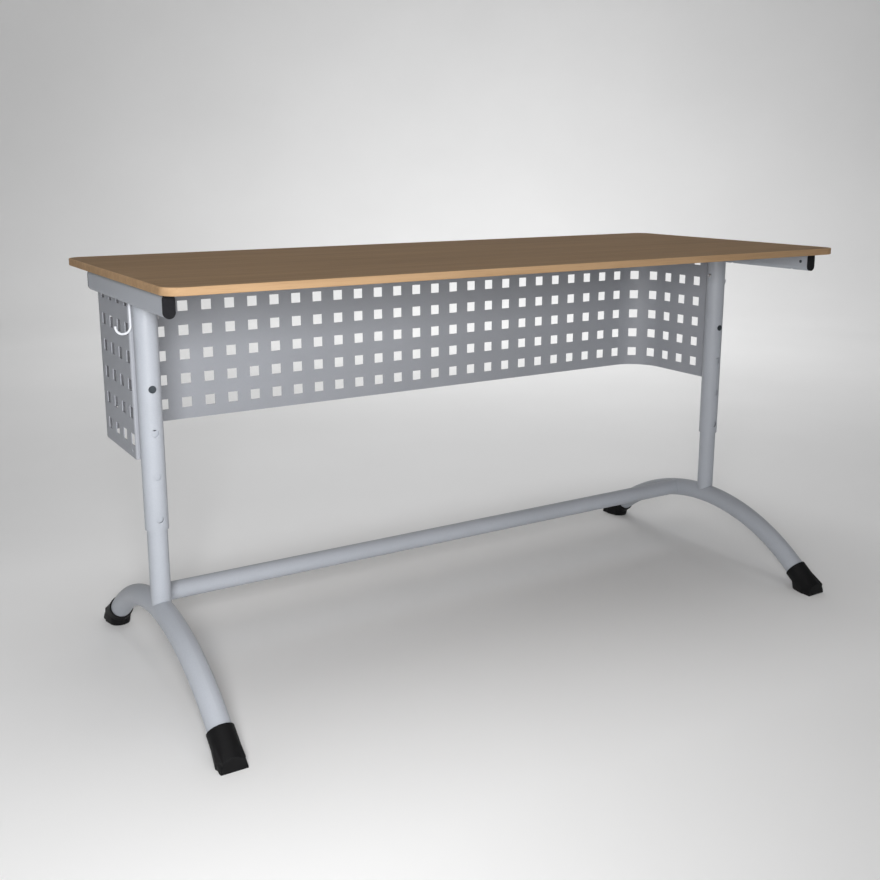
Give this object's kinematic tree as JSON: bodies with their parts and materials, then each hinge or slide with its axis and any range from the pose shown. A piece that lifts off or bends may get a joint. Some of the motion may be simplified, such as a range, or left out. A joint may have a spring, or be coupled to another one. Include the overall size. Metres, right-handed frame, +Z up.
{
  "type": "teacher desk",
  "caption": "Height-adjustable desk with a laminated top, arched tubular feet, telescoping posts, a perforated modesty panel and side bag hooks.",
  "frame": {"origin": "centre of the footprint on the floor, midway between the four boots", "axes": "+X to the user's right, +Y from the user to the far side, +Z up"},
  "size_m": [1.126, 0.539, 0.583],
  "materials": {
    "top_laminate": "brown wood-grain laminate, satin",
    "backing_laminate": "plain backing laminate, matte",
    "board_core": "pressed wood board, raw",
    "edge_band": "light wood-tone edge band, satin",
    "frame_paint": "light grey powder coat, fine texture",
    "panel_paint": "grey powder coat, fine texture",
    "hook_paint": "pale grey powder coat",
    "plated_steel": "zinc-plated steel",
    "dark_steel": "blackened steel",
    "black_plastic": "moulded black plastic",
    "boot_plastic": "moulded black plastic, satin"
  },
  "bodies": {
    "base": {"left_foot_arch": "frame_paint", "right_foot_arch": "frame_paint", "stretcher": "frame_paint", "near_left_boot": "boot_plastic", "near_right_boot": "boot_plastic", "far_left_boot": "boot_plastic", "far_right_boot": "boot_plastic", "left_lower_post": "frame_paint", "right_lower_post": "frame_paint", "left_top_glide": "black_plastic", "right_top_glide": "black_plastic", "left_snap_lock": "dark_steel", "right_snap_lock": "dark_steel"},
    "upper_frame": {"tabletop_core": "board_core", "tabletop_laminate": "top_laminate", "tabletop_backing": "backing_laminate", "tabletop_edge_band": "edge_band", "left_side_rail": "frame_paint", "right_side_rail": "frame_paint", "near_left_rail_cap": "black_plastic", "near_right_rail_cap": "black_plastic", "far_left_rail_cap": "black_plastic", "far_right_rail_cap": "black_plastic", "rail_cap_screws": "dark_steel", "tabletop_screws": "plated_steel", "post_rail_plates": "frame_paint", "left_upper_post": "frame_paint", "right_upper_post": "frame_paint", "left_guide_bush": "black_plastic", "right_guide_bush": "black_plastic", "stop_screws": "plated_steel", "modesty_panel": "panel_paint", "panel_rivets": "plated_steel", "panel_post_screws": "plated_steel", "left_bag_hook": "hook_paint", "right_bag_hook": "hook_paint"}
  },
  "joints": [
    {"name": "height", "type": "slide", "parent": "base", "child": "upper_frame", "axis": [0, 0, 1], "range_m": [0, 0.18], "deforming": ["left_snap_lock", "right_snap_lock"]}
  ]
}
